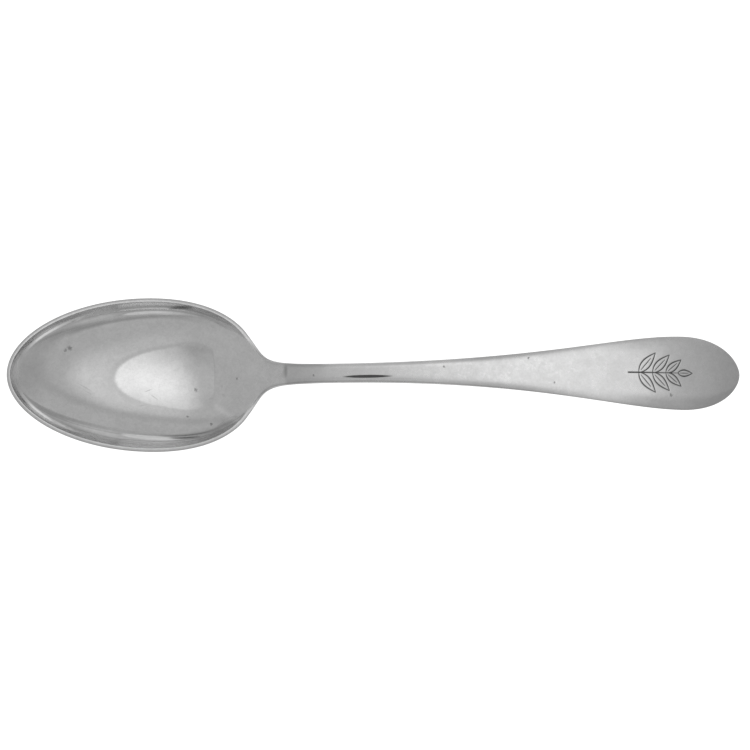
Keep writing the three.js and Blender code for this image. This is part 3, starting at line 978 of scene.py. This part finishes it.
def silver(name, bright, worn, gloss, dull, scratch_depth, grain_depth, pits=(), hairlines=()):
    """Bright, glossy silver with worn, dull clouds, fine scratches, a faint grain and dark marks."""
    made = Finish(name)
    place = made.millimetres()
    specks = made.noise(place, *SPECKS)
    lines = made.scratches(place)
    haze = made.plus(
        made.times(made.noise(place, *CLOUDS), CLOUD_SHARE),
        made.times(made.noise(place, *BLOTCHES), BLOTCH_SHARE),
    )
    haze = made.plus(haze, made.times(specks, SPECK_SHARE))
    dark = dark_marks(made, place, specks, pits, hairlines)
    # Brightening stored per point: rub wear, and painted highlights on the grip, the stem's flanks and the
    # bowl's crescents.
    rub = made.stored("rubbed")
    low = made.blend(rub, grey(worn), grey(RUB_AND_HIGHLIGHT_GAIN * worn))
    high = made.blend(rub, grey(bright), grey(min(RUB_AND_HIGHLIGHT_GAIN * bright, 1.0)))
    cloudy = made.blend(made.spread(haze, *HAZE_RANGE), low, high)
    lined = made.blend(made.times(lines, SCRATCH_SHADE), cloudy, grey(SCRATCH_GREY))
    # The stored darkening in dark is partly painted shade and painted reflection.
    made.feed(made.blend(dark, lined, grey(TARNISH_AND_SHADE_GREY)), "Base Color")
    rough = made.spread(haze, *HAZE_RANGE[::-1], gloss, dull)
    rough = made.plus(rough, made.times(lines, SCRATCH_ROUGHNESS))
    rough = made.plus(rough, made.times(made.stored("scuff"), SCUFF_ROUGHNESS))
    rough = made.plus(rough, made.times(dark, TARNISH_AND_SHADE_ROUGHNESS))
    made.feed(rough, "Roughness")
    grained = made.bump(made.noise(place, *GRAIN), grain_depth)
    made.feed(made.bump(lines, scratch_depth, under=grained, invert=True), "Normal")
    made.shader.inputs["Metallic"].default_value = 1.0
    return made.material


def white_table():
    """A large white table top, bright enough of itself that only close shadows show on it."""
    side = 6.0
    level = -0.00001
    corners = [(-side, -side, level), (side, -side, level), (side, side, level), (-side, side, level)]
    mesh = bpy.data.meshes.new("table_top")
    mesh.from_pydata(corners, [], [(0, 1, 2, 3)])
    table = bpy.data.objects.new("table_top", mesh)
    bpy.context.scene.collection.objects.link(table)
    table.visible_glossy = False
    made = Finish("white_paper")
    made.shader.inputs["Base Color"].default_value = grey(0.7)
    made.shader.inputs["Roughness"].default_value = 0.9
    made.shader.inputs["Emission Color"].default_value = grey(1.0)
    made.shader.inputs["Emission Strength"].default_value = 0.9
    mesh.materials.append(made.material)


def studio():
    """Light from all round, worked out from its direction, and plain white where the camera sees it.

    Overhead is a large soft box with a dark rim, brighter to one side. Round it the grey room has a glow, a
    darker ring, and dim places by the horizon. A dark band lies under the horizon, and the floor below it is
    brighter. Directions are read as their sines along X, Y and Z."""
    world = bpy.data.worlds.new("studio")
    bpy.context.scene.world = world
    world.use_nodes = True
    world.node_tree.nodes.clear()
    sky = Nodes(world.node_tree)
    spread, times, plus, minus = sky.spread, sky.times, sky.plus, sky.minus
    direction = sky.node("ShaderNodeTexCoord").outputs["Generated"]
    x, y, z = sky.node("ShaderNodeSeparateXYZ", {0: direction}).outputs

    def reach(middle, radii):
        """Distance of a direction from the middle of an ellipse, as a share of its radii."""
        place = tuple(-m / r for m, r in zip(middle, radii)) + (0,)
        inputs = {"Vector": direction, "Location": place, "Scale": tuple(1 / r for r in radii) + (0,)}
        return sky.length(sky.node("ShaderNodeMapping", inputs).outputs["Vector"])

    # The soft box and its rim.
    from_box = reach(BOX_MIDDLE, BOX_RADII)
    box = spread(from_box, *BOX_EDGE)
    lit = spread(plus(x, times(y, 0.215)), -0.315, 0.157, *BOX_LIGHT)
    lit = times(lit, spread(y, -0.7, 0.17, 0.69, 1.0))
    lit = times(lit, spread(y, 1.0, 0.165, 0.52, 1.0))
    rim = times(spread(from_box, *RIM_EDGE), spread(y, 0.3, -0.25, *RIM_SHADE))

    # The room: its glow, what it lacks by the horizon, and its ring.
    glow = times(spread(reach(ZENITH, GLOW_RADII), *GLOW_EDGE), spread(y, -0.8, 0.1, 0.3, 1.0))
    glow = times(glow, spread(x, -0.45, 0.25))
    far = spread(reach(ZENITH, HORIZON), spread(y, -0.4, -0.8, 0.86, 0.97), 1.0)
    side = spread(minus(x, times(y, 0.6)), 0.3, 0.8, *SIDE_SHADE)
    corner = spread(minus(y, times(x, 0.6)), 0.6, 1.1, *CORNER_SHADE)
    near = spread(y, -0.5, -0.95, *NEAR_SHADE)
    room = plus(ROOM_LIGHT, times(glow, GLOW_LIGHT))
    room = minus(room, times(far, plus(plus(side, corner), near)))
    from_ring = reach(RING_MIDDLE, RING_RADII)
    ring = times(spread(from_ring, *RING_INNER_EDGE), spread(from_ring, *RING_OUTER_EDGE))
    ring = times(ring, spread(y, -0.5, -0.2, *RING_SHADE))
    room = times(room, minus(1.0, sky.larger(rim, ring)))

    # Under the horizon.
    band = spread(y, -0.3, -0.8, *BAND_LIGHT)
    below = times(spread(z, -0.39, -0.75, band, FLOOR_LIGHT), spread(z, -1.0, -0.8, 0.62, 1.0))

    above = sky.between(room, lit, box)
    light = sky.between(below, above, spread(z, -0.05, 0.02))
    strength = sky.between(light, 1.0, sky.node("ShaderNodeLightPath").outputs["Is Camera Ray"])
    background = sky.node("ShaderNodeBackground", {"Color": grey(1.0), "Strength": strength})
    sky.node("ShaderNodeOutputWorld", {"Surface": background.outputs[0]})


def photo_camera():
    """A long lens high over the spoon, tilted a little towards the near side, the spoon across the frame."""
    tilt = np.radians(3.6)
    roll = np.radians(-0.27)
    distance = 1.789
    middle = np.array([0.00014, -0.00012, 0.0065])
    back = np.array([0.0, -np.sin(tilt), np.cos(tilt)])
    level = np.array([1.0, 0.0, 0.0])
    upright = np.cross(back, level)
    right = np.cos(roll) * level + np.sin(roll) * upright
    up = np.cross(back, right)
    camera = bpy.data.objects.new("camera", bpy.data.cameras.new("camera"))
    bpy.context.scene.collection.objects.link(camera)
    camera.data.lens = 600.0
    camera.data.sensor_width = 36.0
    camera.data.clip_start = 0.05
    camera.data.clip_end = 30.0
    camera.matrix_world = Matrix(
        [[right[i], up[i], back[i], middle[i] + distance * back[i]] for i in range(3)] + [[0, 0, 0, 1]]
    )
    bpy.context.scene.camera = camera


bowl_silver = silver(
    "bright_bowl_silver",
    bright=0.835,
    worn=0.72,
    gloss=0.03,
    dull=0.07,
    scratch_depth=0.0005,
    grain_depth=0.0003,
    pits=[(x, y, on_inside(x, y), size) for x, y, size in BOWL_PITS],
    hairlines=[(x, y, on_inside(x, y), *shape) for x, y, *shape in BOWL_HAIRLINES],
)
handle_silver = silver(
    "satin_handle_silver",
    bright=0.825,
    worn=0.725,
    gloss=0.26,
    dull=0.35,
    scratch_depth=0.0007,
    grain_depth=0.0008,
    pits=[(x, y, on_handle(x, y), size) for x, y, size in HANDLE_PITS],
)
solder_silver = silver(
    "dull_solder_silver",
    bright=0.80,
    worn=0.66,
    gloss=0.28,
    dull=0.40,
    scratch_depth=0.0005,
    grain_depth=0.001,
)

bowl_mesh = skin("bowl_silver", bowl_rings())
mark(bowl_mesh, tarnish=bowl_tarnish, scuff=bowl_scuff, rubbed=bowl_rub_and_highlight)
piece("bowl", bowl_mesh, bowl_silver)

handle_mesh = skin("handle_silver", handle_rings())
mark(handle_mesh, tarnish=handle_tarnish, rubbed=handle_painted_highlight)
piece("handle", handle_mesh, handle_silver)

solder_mesh = skin("solder_seam_silver", solder_rings())
mark(solder_mesh, tarnish=solder_tarnish)
piece("solder_seam", solder_mesh, solder_silver)

white_table()
studio()
photo_camera()
bpy.context.scene.view_settings.view_transform = "Standard"

bpy.context.view_layer.update()
